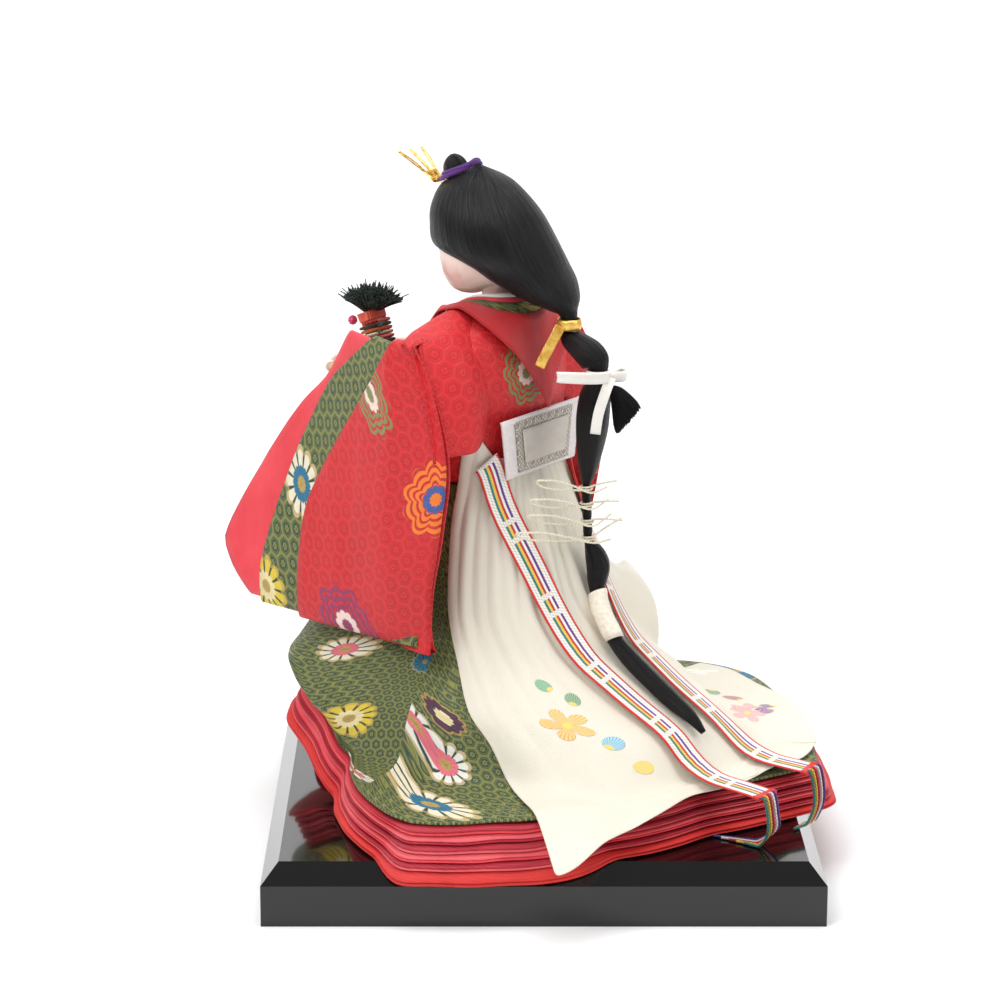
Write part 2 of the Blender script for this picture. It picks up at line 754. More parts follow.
def build_arms(parent):
    """Nested sleeves of both arms with the arms in them"""
    for label, hand in (("left", 1.0), ("right", -1.0)):
        build_sleeve(f"sleeve_red_{label}", RED_SLEEVE_SHARES, 0.0, "red_brocade", hand, parent)
        build_sleeve(f"sleeve_green_{label}", GREEN_SLEEVE_SHARES, SLEEVE_STEP, "brocade", hand, parent)
        build_sleeve(f"sleeve_pink_{label}", PINK_SLEEVE_SHARES, 2 * SLEEVE_STEP, "pink", hand, parent)
        for name in (f"sleeve_red_{label}", f"sleeve_green_{label}", f"sleeve_pink_{label}", "jacket"):
            boolean(bpy.data.objects[name], armhole_cutter(hand, parent), "DIFFERENCE")
        build_arm(label, hand, parent)


def armhole_cutter(hand, parent):
    """Round bar from inside the jacket to the middle of the sleeve"""
    rings = [[Vector((hand * across, ARMHOLE_BACK + ARMHOLE_RADIUS * math.cos(turn),
                      ARM_LEVEL + ARMHOLE_RADIUS * math.sin(turn)))
              for turn in (TAU * step / ARMHOLE_AROUND for step in range(ARMHOLE_AROUND))]
             for across in (TORSO_HALF_WIDTH, SLEEVE_SIDE)]
    return loft("armhole", rings, "wood", parent)


# Collars

COLLAR_BACK = 0.0108
COLLAR_RISE = 0.0065
COLLAR_TOP = JACKET_TOP + COLLAR_RISE
COLLAR_SHOW = 0.0024
GREEN_SHOW = 0.0058
COLLAR_THICK = 0.0006
BACK_FOLD_DROP = 0.04
COLLAR_STEPS = 2
# Side and back as shares of the collar's back radius, and height as a share of its top
COLLAR_ROUTE_SHARES = (
    (0.0, 1.0, 1.0), (0.45, 0.9, 1.0), (0.8, 0.55, 0.9985), (0.95, 0.1, 0.996), (0.9, -0.5, 0.988),
    (0.76, -1.2, 0.966), (0.5, -1.68, 0.928), (0.25, -2.05, 0.885),
)
# From the back to the front: heading of the bands in degrees, slope of the inner bands and of the
# outer one in degrees, share of the inner bands' width, share of the green band's and of the fold's
COLLAR_LEAN_SHARES = (
    (90.0, 45.0, 80.0, 1.0, 1.0, 1.0), (66.0, 40.0, 74.0, 1.0, 1.0, 0.6), (36.0, 28.0, 40.0, 1.0, 0.9, 0.34),
    (8.0, 14.0, 14.0, 1.0, 0.75, 0.2), (0.0, 12.0, 12.0, 1.0, 0.6, 0.18), (0.0, 6.0, 6.0, 0.8, 0.5, 0.18),
    (0.0, 0.0, 0.0, 0.7, 0.4, 0.18), (0.0, 0.0, 0.0, 0.7, 0.4, 0.18),
)


def collar_frames():
    """Places along half a collar: start, headings and widths, from the back to the front"""
    points = catmull([(side * COLLAR_BACK, back * COLLAR_BACK, height * COLLAR_TOP)
                      for side, back, height in COLLAR_ROUTE_SHARES], COLLAR_STEPS)
    table = [(index * COLLAR_STEPS, *row) for index, row in enumerate(COLLAR_LEAN_SHARES)]
    frames = []
    for index, point in enumerate(points):
        after = points[min(index + 1, len(points) - 1)]
        before = points[index - 1] if index else Vector((-after.x, after.y, after.z))
        columns = range(1, len(table[0]))
        heading, inner, outer, narrow, green, fold = (interpolate(table, index, column) for column in columns)
        across = Vector((math.cos(math.radians(heading)), math.sin(math.radians(heading)), 0.0))
        run = (after - before).normalized()
        falls = [across * math.cos(math.radians(slope)) - Vector((0, 0, math.sin(math.radians(slope))))
                 for slope in (inner, outer)]
        frames.append((point, run, falls, narrow, green, fold))
    return frames


def build_collars(parent):
    """Three collars laid over one another, and the plain outer one folded down her back"""
    sections = {"collar_white": [], "collar_pink": [], "collar_green": [], "collar_red": []}
    for point, run, falls, narrow, green, fold in collar_frames():
        start = point
        widths = (COLLAR_SHOW * narrow, COLLAR_SHOW * narrow, GREEN_SHOW * green, BACK_FOLD_DROP * fold)
        for order, (name, width) in enumerate(zip(sections, widths)):
            fall = falls[1] if name == "collar_red" else falls[0]
            lift = falls[0].cross(run).normalized()
            lift = lift if lift.z > 0.0 else -lift
            own = fall.cross(run).normalized()
            own = own if own.dot(lift) > 0.0 else -own
            thick = own * COLLAR_THICK
            sections[name].append((start, start + fall * width, start + fall * width + thick, start + thick))
            start = start + falls[0] * (width + GAP) + lift * (COLLAR_THICK + GAP) * (order == 2)
    for name, finish in zip(sections, ("white_silk", "pink", "brocade", "plain_red")):
        half = sections[name]
        mirrored = [[Vector((-corner.x, corner.y, corner.z)) for corner in ring] for ring in half[:0:-1]]
        loft(name, mirrored + half, finish, parent)


# Surfaces over the robe


def jacket_radius(angle, level):
    """Outer face of the jacket at a height"""
    share = (level - WAIST_HEIGHT - GAP) / (JACKET_TOP - WAIST_HEIGHT - GAP)
    side, front, back = (interpolate(JACKET_RING_SHARES, share, column) for column in (1, 2, 3))
    return ring_radius(angle, side * JACKET_HALF_WIDTH, front * JACKET_HALF_DEPTH, back * JACKET_HALF_DEPTH)


def facet_profile(angle, profile, seams):
    """A profile on the flat facets between two of its seams"""
    low = max(seam for seam in seams if seam <= angle)
    high = min(seam for seam in seams if seam > angle)
    pairs = []
    for first, second in zip(profile(low), profile(high)):
        start = polar(low, *first)
        run = polar(high, *second) - start
        look = polar(angle + 90.0, 1.0, 0.0)
        share = -start.dot(look) / run.dot(look)
        place = start + run * share
        pairs.append((math.hypot(place.x, place.y), place.z))
    return pairs


def jacket_profile(angle):
    """The jacket's outer face at the train's top and at the waist"""
    top = BELT_BOTTOM + BELT_HEIGHT / 3
    return [(jacket_radius(angle, level) + GAP, level) for level in (top, WAIST_HEIGHT)]


def trail_path(angle):
    """Robe and jacket from the belt down to the hem, as (radius, height) pairs"""
    body = facet_profile(angle, robe_profile, hem_angles())[::-1]
    top, waist = facet_profile(angle, jacket_profile, JACKET_SEAMS)
    return [top, (max(body[0][0], waist[0]), WAIST_HEIGHT)] + body[1:]


def past_hem(path, reach, fall):
    """The path carried on past its end at a slope"""
    end = path[-1]
    return path + [(reach, end[1] - fall * (reach - end[0]))]


def near_robe(place, offset, fall):
    """Point above the robe that is nearest to a place of the doll's frame"""
    angle = math.degrees(math.atan2(place.y, place.x))
    path = past_hem(offset_path(trail_path(angle), -offset), HEM_REACH, fall)
    target = Vector((math.hypot(place.x, place.y), place.z))
    best = None
    for low, high in zip(path, path[1:]):
        start = Vector(low)
        run = Vector(high) - start
        share = min(max((target - start).dot(run) / run.length_squared, 0.0), 1.0)
        point = start + run * share
        if best is None or (point - target).length < (best - target).length:
            best = point
    return polar(angle, best.x, best.y)


# Angle of the train's edges, on her left and on her right, and how much of the folds and of the
# flare on her right each row has
TRAIN_ROW_SHARES = (
    (0, 24.0, 156.0, 0.0, 0.0), (1, 20.0, 160.0, 0.0, 0.0), (2, 18.0, 158.0, 0.6, 0.1),
    (3, 19.0, 156.0, 1.0, 0.8), (4, 21.0, 159.0, 1.0, 1.0), (5, 26.0, 162.0, 1.0, 0.85),
    (6, 31.0, 165.0, 1.0, 0.5), (7, 36.0, 166.0, 1.0, 0.25), (8, 39.0, 166.0, 1.0, 0.1),
    (9, 41.0, 166.0, 1.0, 0.0), (10, 42.5, 166.0, 1.0, 0.0), (11, 43.5, 166.0, 1.0, 0.0),
    (12, 44.0, 166.0, 1.0, 0.0),
)
# How far the flare has grown, by the share of the way across from her left
TRAIN_FLARE_SHARES = ((0.78, 0.0), (0.88, 0.35), (0.95, 0.8), (1.0, 1.0))
# Plan reach of the train's hem by angle, as shares of the hem's reach
TRAIN_REACH_SHARES = (
    (14, 0.9), (44, 0.955), (55, 0.87), (66, 0.82), (80, 0.8), (95, 0.86), (112, 0.92),
    (130, 0.88), (145, 0.86), (166, 0.83),
)
TRAIN_FALL_SHARE = 0.55


def train_column(angle, reach, offset):
    """Places of the train from belt to hem at one angle"""
    path = offset_path(trail_path(angle), -offset)
    body = path[:-2]
    foot = path[-3]
    hem = path[-1]
    if reach > hem[0] + GAP:
        tail = past_hem(path, reach, TRAIN_FALL_SHARE)[-3:]
        middle = ((tail[1][0] + tail[2][0]) / 2, (tail[1][1] + tail[2][1]) / 2)
        return body + [tail[0], tail[1], middle, tail[2]]
    run = reach - foot[0]
    flat = [(foot[0] + run * step / 4, 0.0) for step in range(1, 5)]
    return body + [(radius, height_on(path[-3:], radius)) for radius, _ in flat]


def height_on(path, radius):
    """Height of a path at a radius"""
    for low, high in zip(path, path[1:]):
        if radius <= high[0]:
            return low[1] + (high[1] - low[1]) * (radius - low[0]) / max(high[0] - low[0], GAP)
    return path[-1][1]


def build_train(parent):
    """Pleated train from under the belt over the robe, one cloth"""
    rings = []
    for row, left, right, fold, flare in TRAIN_ROW_SHARES:
        low = []
        high = []
        for column in range(TRAIN_ACROSS + 1):
            across = column / TRAIN_ACROSS
            angle = left + (right - left) * across
            reach = HEM_REACH * interpolate(TRAIN_REACH_SHARES, angle)
            wave = (1.0 - math.cos(TAU * TRAIN_FOLDS * across)) / 2
            rise = TRAIN_CLEARANCE + TRAIN_FOLD * wave * fold
            rise += TRAIN_FLARE * flare * interpolate(TRAIN_FLARE_SHARES, across)
            low.append(polar(angle, *train_column(angle, reach, rise)[row]))
            high.append(polar(angle, *train_column(angle, reach, rise + TRAIN_THICK)[row]))
        rings.append(low + high[::-1])
    loft("train", rings, "cream", parent, sheet=True)


BELT_BACK = 0.0226
BELT_FOOT_SHARE = 0.86
PATCH_LIFT = 0.0022


def plate(name, half_top, half_bottom, bottom, height, back, thick, finish, parent):
    """Flat upright plate on the doll's back"""
    rings = []
    for depth in (back, back + thick):
        top = bottom + height
        rings.append([Vector((-half_bottom, depth, bottom)), Vector((half_bottom, depth, bottom)),
                      Vector((half_top, depth, top)), Vector((-half_top, depth, top))])
    return loft(name, rings, finish, parent, smooth_deg=20.0)


def build_belt(parent):
    """Stiff waist board of the train with its silver panel"""
    plate("waist_belt", BELT_HALF_WIDTH, BELT_HALF_WIDTH * BELT_FOOT_SHARE, BELT_BOTTOM, BELT_HEIGHT,
          BELT_BACK, BELT_THICK, "white_silk", parent)
    plate("belt_patch", PATCH_HALF_WIDTH, PATCH_HALF_WIDTH * BELT_FOOT_SHARE, BELT_BOTTOM + PATCH_LIFT,
          PATCH_HEIGHT, BELT_BACK + BELT_THICK + GAP, PATCH_THICK, "silver", parent)


# Ribbon routes: side, back and height as shares of the ribbons' reach
RIBBON_REACH = 0.1425
RIBBON_END_FALL_SHARE = 0.06
LEFT_RIBBON_SHARES = (
    (0.24, 0.13, 1.05), (0.205, 0.165, 0.88), (0.175, 0.27, 0.7), (0.15, 0.39, 0.5), (0.133, 0.475, 0.4),
    (0.118, 0.6, 0.3), (0.112, 0.72, 0.25), (0.112, 0.84, 0.2), (0.115, 0.95, 0.18), (0.12, 1.0, 0.17),
)
RIGHT_RIBBON_SHARES = (
    (-0.25, 0.12, 1.05), (-0.225, 0.15, 0.9), (-0.175, 0.25, 0.7), (-0.122, 0.39, 0.5), (-0.118, 0.475, 0.4),
    (-0.114, 0.6, 0.3), (-0.114, 0.72, 0.25), (-0.117, 0.84, 0.22), (-0.124, 0.95, 0.21), (-0.13, 1.005, 0.2),
)
# Places where the strands end, by side and back, and how they spread
LEFT_TASSEL_SHARES = (0.15, 0.91)
LEFT_SPREAD_SHARES = (0.0, 0.1)
RIGHT_TASSEL_SHARES = (-0.13, 1.03)
RIGHT_SPREAD_SHARES = (0.045, 0.0)
TASSEL_OUT_SHARE = 1.8
TASSEL_BEND_SHARE = 0.35
TASSEL_HANG_SHARE = 0.7
TASSEL_LAID_SHARE = 0.04
TASSEL_LAND_SHARE = 0.35
RIBBON_RISE = TRAIN_TOP + RIBBON_CLEARANCE + RIBBON_THICK


def ribbon_route(shares):
    """Middle line of one ribbon over the train, and the direction of its width"""
    points = []
    sides = []
    for place in catmull([Vector(share) * RIBBON_REACH for share in shares], 2):
        points.append(near_robe(place, RIBBON_RISE, RIBBON_END_FALL_SHARE))
        out = Vector((RIBBON_WIDTH / 4, 0.0, 0.0))
        sides.append((near_robe(place + out, RIBBON_RISE, RIBBON_END_FALL_SHARE)
                      - near_robe(place - out, RIBBON_RISE, RIBBON_END_FALL_SHARE)).normalized())
    return points, sides


def tassel_route(start, run, share, end, spread):
    """One strand from the ribbon's end to its place on the board"""
    rest = GAP + TASSEL_DIAMETER / 2
    drop = start.z - rest
    target = Vector((end[0] + spread[0] * share, end[1] + spread[1] * share, 0.0)) * RIBBON_REACH
    target.z = rest
    out = start + run * BINDING_DEPTH * TASSEL_OUT_SHARE
    points = [start, start + run * BINDING_DEPTH, out - Vector((0, 0, drop * TASSEL_BEND_SHARE)),
              out - Vector((0, 0, drop * TASSEL_HANG_SHARE))]
    floor = Vector((out.x, out.y, rest))
    if (target - floor).length > TASSEL_LAID_SHARE * RIBBON_REACH:
        points += [floor.lerp(target, TASSEL_LAND_SHARE), floor.lerp(target, (1.0 + TASSEL_LAND_SHARE) / 2)]
    points.append(target)
    return [Vector((place.x, place.y, max(place.z, rest))) for place in catmull(points, 2)]


def build_tassel(label, route, side, end, spread, parent):
    """Turned red end of a ribbon with its five hanging strands"""
    run = (route[-1] - route[-2]).normalized()
    turned = [route[-1] + run * GAP, route[-1] + run * (GAP + BINDING_DEPTH)]
    tassel = strip(f"tassel_{label}", turned, [side, side], RIBBON_WIDTH, BINDING_THICK, "vermilion", parent)
    for order in range(TASSEL_STRANDS):
        share = order / (TASSEL_STRANDS - 1) - 0.5
        start = (turned[0] + turned[1]) / 2 + side * share * TASSEL_PITCH * (TASSEL_STRANDS - 1)
        strand = tube("strand", tassel_route(start, run, share, end, spread), TASSEL_DIAMETER / 2, "purple",
                      parent)
        solid = bpy.data.objects.new("strand_solid", bpy.data.meshes.new_from_object(strand))
        bpy.context.scene.collection.objects.link(solid)
        solid.parent = parent
        bpy.data.objects.remove(strand)
        boolean(tassel, solid, "UNION")


def build_ribbons(parent):
    """Two stiff ribbons from the belt, and the cords at their ends"""
    for label, shares, end, spread in (
            ("left", LEFT_RIBBON_SHARES, LEFT_TASSEL_SHARES, LEFT_SPREAD_SHARES),
            ("right", RIGHT_RIBBON_SHARES, RIGHT_TASSEL_SHARES, RIGHT_SPREAD_SHARES)):
        route, sides = ribbon_route(shares)
        strip(f"ribbon_{label}", route, sides, RIBBON_WIDTH, RIBBON_THICK, "white_silk", parent)
        build_tassel(label, route, sides[-1], end, spread, parent)


# Head and hair

# Height above the chin, half width, front and back of the head
HEAD_RING_SHARES = (
    (0.0, 0.17, -0.84, -0.42), (0.051, 0.47, -0.98, -0.09), (0.133, 0.69, -1.09, 0.28),
    (0.235, 0.86, -1.15, 0.51), (0.378, 0.97, -1.19, 0.7), (0.541, 1.01, -1.21, 0.79),
    (0.704, 0.97, -1.16, 0.79), (0.847, 0.78, -0.98, 0.6), (0.949, 0.44, -0.65, 0.28),
    (1.0, 0.11, -0.28, -0.05),
)
# Height above the hair's lower end, half width, front and back of the hair
HAIR_RING_SHARES = (
    (0.0, 0.19, 0.486, 0.575), (0.095, 0.2, 0.475, 0.575), (0.13, 0.33, 0.4, 0.568),
    (0.2, 0.66, 0.225, 0.563), (0.297, 0.9, 0.03, 0.528), (0.375, 0.99, -0.116, 0.483),
    (0.484, 1.03, -0.405, 0.435),
    (0.625, 1.0, -0.435, 0.348), (0.734, 0.9, -0.43, 0.275), (0.859, 0.69, -0.377, 0.16),
    (0.938, 0.44, -0.275, 0.058), (1.0, 0.07, -0.13, -0.1),
)
HAIR_AROUND = 24


def head_rings(growth):
    """Egg shape of the head, grown evenly for the hollow inside the hair"""
    rings = []
    for share, wide, front, back in HEAD_RING_SHARES:
        level = HEAD_BOTTOM + HEAD_HEIGHT * share
        level += growth * (2.0 * share - 1.0)
        rings.append(egg_ring(wide * HEAD_HALF_WIDTH + growth, front * HEAD_HALF_DEPTH - growth,
                              back * HEAD_HALF_DEPTH + growth, level))
    return rings


def egg_ring(half_width, front, back, level):
    """One level ring between a front and a back"""
    middle = (front + back) / 2
    reach = (back - front) / 2
    return [Vector((half_width * math.cos(turn), middle + reach * math.sin(turn), level))
            for turn in (TAU * step / HAIR_AROUND for step in range(HAIR_AROUND))]


def hair_rings(growth):
    """Egg shape of the hair from its lower end to the crown"""
    rings = []
    for share, wide, front, back in HAIR_RING_SHARES:
        level = HAIR_BOTTOM + HAIR_HEIGHT * share
        rings.append(egg_ring(wide * HAIR_HALF_WIDTH + growth, front * HAIR_DEPTH - growth,
                              back * HAIR_DEPTH + growth, level))
    return rings


def build_head(parent):
    """Head with its neck, and the peg below it"""
    head = loft("head", head_rings(0.0), "skin", parent)
    neck = loft("neck", [egg_ring(NECK_RADIUS, -NECK_RADIUS, NECK_RADIUS, level)
                         for level in (NECK_BOTTOM, NECK_BOTTOM + NECK_LENGTH)], "skin", parent)
    boolean(head, neck, "UNION")
    top = NECK_BOTTOM - GAP
    loft("neck_peg", [egg_ring(PEG_RADIUS, -PEG_RADIUS, PEG_RADIUS, level)
                      for level in (top - PEG_LENGTH, top)], "wood", parent)


def ball(name, centre, radii, finish, parent, rows=10, around=20):
    """Round solid with its poles up and down"""
    rings = []
    for row in range(rows + 1):
        tilt = math.pi * (row + 0.5) / (rows + 1)
        rings.append([Vector((centre[0] + radii[0] * math.sin(tilt) * math.cos(turn),
                              centre[1] + radii[1] * math.sin(tilt) * math.sin(turn),
                              centre[2] - radii[2] * math.cos(tilt)))
                      for turn in (TAU * step / around for step in range(around))])
    return loft(name, rings, finish, parent)


def lathe(name, start, end, shares, radius, finish, parent, around=20):
    """Round solid about a slanting axis, its radius given along it"""
    axis = (end - start).normalized()
    side = Vector((1.0, 0.0, 0.0))
    up = axis.cross(side).normalized()
    rings = []
    for share, wide in shares:
        middle = start.lerp(end, share)
        rings.append([middle + (side * math.cos(turn) + up * math.sin(turn)) * radius * wide
                      for turn in (TAU * step / around for step in range(around))])
    return loft(name, rings, finish, parent)


def build_hair(parent):
    """Hair cap with the face left open, the knot on it and its purple cord"""
    cap = loft("hair_cap", hair_rings(0.0), "hair", parent)
    boolean(cap, loft("head_room", head_rings(GAP), "skin", parent), "DIFFERENCE")
    face = (0.0, -FACE_OPENING_BACK, FACE_OPENING_HEIGHT)
    boolean(cap, ball("face_room", face, (FACE_OPENING_WIDE, FACE_OPENING_DEEP, FACE_OPENING_HIGH), "skin",
                      parent, 10, 20), "DIFFERENCE")
    low = Vector((0.0, KNOT_BACK + KNOT_LEAN, KNOT_HEIGHT - KNOT_LENGTH / 2))
    high = Vector((0.0, KNOT_BACK - KNOT_LEAN, KNOT_HEIGHT + KNOT_LENGTH / 2))
    knot = lathe("topknot", low, high, KNOT_SHARES, KNOT_RADIUS, "hair", parent)
    boolean(knot, loft("cap_room", hair_rings(GAP), "hair", parent), "DIFFERENCE")
    plan = catmull([(side * HAIR_HALF_WIDTH, back * HAIR_DEPTH) for side, back in CORD_ROUTE_SHARES], 2)
    tube("purple_cord", [over_hair(*place, CORD_RADIUS + GAP + GAP) for place in plan], CORD_RADIUS, "purple",
         parent)


# Radius of the knot along its axis
KNOT_SHARES = ((0.0, 0.8), (0.25, 0.72), (0.45, 0.9), (0.65, 1.0), (0.82, 0.88), (0.94, 0.55), (1.0, 0.2))
# Side and back shares of the cord round the knot's foot, as shares of the hair's sizes
CORD_ROUTE_SHARES = (
    (0.1, -0.36), (0.24, -0.335), (0.345, -0.275), (0.32, -0.195), (0.18, -0.15), (0.0, -0.135),
    (-0.18, -0.15), (-0.32, -0.195), (-0.345, -0.275), (-0.24, -0.335), (-0.1, -0.36),
)


def hair_top(side, back):
    """Height of the hair over a place in plan"""
    above = (0.0, HAIR_BOTTOM + HAIR_HEIGHT)
    for share, wide, front, rear in reversed(HAIR_RING_SHARES):
        middle = (front + rear) / 2 * HAIR_DEPTH
        reach = (rear - front) / 2 * HAIR_DEPTH
        room = 1.0 / math.hypot(side / (wide * HAIR_HALF_WIDTH), (back - middle) / reach)
        level = HAIR_BOTTOM + share * HAIR_HEIGHT
        if room >= 1.0:
            return above[1] + (level - above[1]) * (1.0 - above[0]) / (room - above[0])
        above = (room, level)
    return HAIR_BOTTOM


def over_hair(side, back, lift):
    """Place at a distance out from the hair's surface"""
    across = (hair_top(side + GAP, back) - hair_top(side - GAP, back)) / (2 * GAP)
    along = (hair_top(side, back + GAP) - hair_top(side, back - GAP)) / (2 * GAP)
    return Vector((side, back, hair_top(side, back))) + Vector((-across, -along, 1.0)).normalized() * lift


def hairpin_outline():
    """Flat fork: stem, plate and three pairs of prongs fanning out"""
    half = PIN_WIDTH / 2
    outline = [(-PIN_STEM / 2, -PIN_STEM_LENGTH), (PIN_STEM / 2, -PIN_STEM_LENGTH), (PIN_STEM / 2, 0.0),
               (half, 0.0)]
    for order in range(PIN_PRONGS):
        share = 1.0 - 2.0 * order / (PIN_PRONGS - 1)
        root = share * (half - PIN_PRONG)
        tip = root + share * PIN_SPREAD
        outline += [(root + PIN_PRONG, PIN_PLATE), (tip + PIN_PRONG / 2, PIN_LENGTH),
                    (tip - PIN_PRONG / 2, PIN_LENGTH), (root - PIN_PRONG, PIN_PLATE)]
    outline += [(-half, 0.0), (-PIN_STEM / 2, 0.0)]
    return outline


def build_hairpin(parent):
    """Gold fork held in front of the knot by the cord"""
    tilt = math.radians(PIN_TILT_DEG)
    along = Vector((0.0, -math.cos(tilt), math.sin(tilt)))
    up = Vector((0.0, math.sin(tilt), math.cos(tilt)))
    foot = Vector((0.0, PIN_BACK, PIN_HEIGHT))
    rings = []
    for side in (-0.5, 0.5):
        rings.append([foot + Vector((across, 0.0, 0.0)) + along * reach + up * PIN_THICK * side
                      for across, reach in hairpin_outline()])
    bm = bmesh.new()
    rows = [[bm.verts.new(point) for point in ring] for ring in rings]
    count = len(rows[0])
    for index in range(count):
        after = (index + 1) % count
        bm.faces.new((rows[0][index], rows[0][after], rows[1][after], rows[1][index]))
    bm.faces.new(rows[0])
    bm.faces.new(rows[1][::-1])
    body_object("hairpin", bm, "gold", parent, 20.0)


# Long tail of hair: side, back, height and radius, as shares of the tail's drop and radius

UPPER_TAIL_SHARES = (
    (0.0, 0.3045, 1.6275, 0.5), (0.0, 0.3055, 1.618, 0.56), (0.0, 0.318, 1.603, 0.68),
    (0.0, 0.352, 1.583, 0.8), (0.0, 0.388, 1.562, 0.9), (0.0, 0.414, 1.54, 0.86), (0.0, 0.4225, 1.524, 0.68),
    (0.0, 0.4225, 1.5135, 0.58),
)
LOWER_TAIL_SHARES = (
    (0.0, 0.4225, 1.509, 0.544), (0.0, 0.4225, 1.468, 0.544), (0.0, 0.419, 1.45, 0.735),
    (0.0, 0.4125, 1.417, 0.926), (0.0, 0.405, 1.358, 1.0), (0.0, 0.4, 1.296, 0.97),
    (0.0, 0.392, 1.217, 0.78), (0.0, 0.385, 1.142, 0.5), (0.0, 0.381, 1.105, 0.28),
    (0.0, 0.38, 1.09, 0.22), (0.0, 0.38, 1.075, 0.28), (0.0, 0.3815, 1.047, 0.28),
    (0.0, 0.3825, 1.032, 0.22), (0.0, 0.3835, 1.017, 0.28), (0.0, 0.385, 0.9875, 0.28),
    (0.0, 0.3865, 0.9725, 0.22), (0.0, 0.3875, 0.9575, 0.28), (0.0, 0.388, 0.928, 0.28),
    (0.0, 0.389, 0.913, 0.22), (-0.003, 0.391, 0.892, 0.28), (-0.033, 0.395, 0.85, 0.618),
    (-0.05, 0.4, 0.8, 0.735), (-0.033, 0.408, 0.754, 0.618), (-0.017, 0.42, 0.717, 0.47),
    (0.004, 0.4465, 0.658, 0.47),
)
# Side, back and radius of the part of the tail that lies on the train
LAID_TAIL_SHARES = (
    (0.017, 0.496, 0.47), (0.019, 0.558, 0.544), (0.019, 0.633, 0.559), (0.02, 0.717, 0.515),
    (0.022, 0.775, 0.382), (0.0225, 0.797, 0.177),
)
LAID_TAIL_HEIGHT_SHARE = 1.1
STRING_PLACES = (9, 12, 15, 18)
WRAP_PLACES = (23, 24, 25)
FIRST_CLEAR_PLACE = 23
TAIL_AROUND = 12


def sweep_rings(centres, radii, around=TAIL_AROUND):
    """Rings square to a route, for solids whose thickness changes along it"""
    rings = []
    last = len(centres) - 1
    for index, (centre, radius) in enumerate(zip(centres, radii)):
        run = (centres[min(index + 1, last)] - centres[max(index - 1, 0)]).normalized()
        side = (Vector((1.0, 0.0, 0.0)) - run * run.x).normalized()
        up = run.cross(side)
        rings.append([centre + (side * math.cos(turn) + up * math.sin(turn)) * radius
                      for turn in (TAU * step / around for step in range(around))])
    return rings


def tail_point(side, back, height):
    """A place of the tail's tables in the doll's frame"""
    return Vector((side * TAIL_REACH, back * TAIL_REACH, height * TAIL_DROP))


def clear_of_train(centre, radius):
    """The centre, moved out where a tail of that radius would touch the train"""
    room = TRAIN_TOP + GAP + radius
    surface = near_robe(centre, 0.0, 0.0)
    seat = near_robe(centre, room, 0.0)
    return seat if (centre - surface).length < room else centre


def tail_places():
    """Middle line and radii of the tail below the white tie"""
    centres = [tail_point(*place[:3]) for place in LOWER_TAIL_SHARES]
    radii = [wide * TAIL_RADIUS for *_, wide in LOWER_TAIL_SHARES]
    for index in range(FIRST_CLEAR_PLACE, len(centres)):
        centres[index] = clear_of_train(centres[index], max(radii[index], WRAP_RADIUS))
    for side, back, wide in LAID_TAIL_SHARES:
        radius = wide * TAIL_RADIUS
        plan = tail_point(side, back, LAID_TAIL_HEIGHT_SHARE * (1.0 - back))
        centres.append(near_robe(plan, TRAIN_TOP + GAP + max(radius, WRAP_RADIUS), 0.0))
        radii.append(radius)
    return centres, radii


def build_tail(parent):
    """Tail of hair in two lengths, with its cut tuft and paper wrap"""
    centres = [tail_point(*place[:3]) for place in UPPER_TAIL_SHARES]
    radii = [wide * TAIL_RADIUS for *_, wide in UPPER_TAIL_SHARES]
    loft("hair_tail_upper", sweep_rings(centres, radii), "hair", parent)
    centres, radii = tail_places()
    loft("hair_tail_lower", sweep_rings(centres, radii), "hair", parent)
    places = [centres[index] for index in WRAP_PLACES]
    inner = [radii[index] + GAP for index in WRAP_PLACES]
    outer = [radius + WRAP_WALL for radius in inner]
    walls = sweep_rings(places, outer) + sweep_rings(places, inner)[::-1]
    loft("paper_wrap", walls, "white_silk", parent, wrap=True)
    tuft = []
    for back, height, deep, wide in TUFT_RING_SHARES:
        middle = tail_point(0.0, back, height) - Vector((TUFT_SIDE, 0.0, 0.0))
        spread = Vector((0.0, 1.0, -TUFT_SLOPE_SHARE)).normalized().cross(Vector((1.0, 0.0, 0.0)))
        tuft.append([middle + spread * TUFT_LENGTH * deep * math.sin(turn)
                     + Vector((TUFT_LENGTH * wide * math.cos(turn), 0.0, 0.0))
                     for turn in (TAU * step / TAIL_AROUND for step in range(TAIL_AROUND))])
    loft("hair_tuft", tuft, "hair", parent)


# Back and height of the tuft's rings, then half depth and half width as shares of its length
TUFT_RING_SHARES = (
    (0.4745, 1.45, 0.1, 0.1), (0.491, 1.437, 0.2, 0.16), (0.512, 1.405, 0.34, 0.22), (0.53, 1.37, 0.48, 0.24),
    (0.54, 1.35, 0.5, 0.2),
)
# Plan of the white ribbon's two loops
LEFT_LOOP_SHARES = (
    (0.01, 0.4765), (0.078, 0.489), (0.142, 0.464), (0.192, 0.412), (0.2, 0.389), (0.18, 0.387),
    (0.125, 0.43), (0.078, 0.4635),
)
RIGHT_LOOP_SHARES = (
    (-0.01, 0.4765), (-0.052, 0.491), (-0.104, 0.469), (-0.107, 0.447), (-0.067, 0.46), (-0.04, 0.47),
)
WHITE_END_SHARES = ((0.012, 0.4835, 1.492), (0.06, 0.492, 1.45), (0.085, 0.482, 1.38), (0.094, 0.475, 1.31))
GOLD_END_SHARES = ((0.049, 0.301, 1.655), (0.063, 0.29, 1.62), (0.083, 0.268, 1.565), (0.1, 0.25, 1.515))


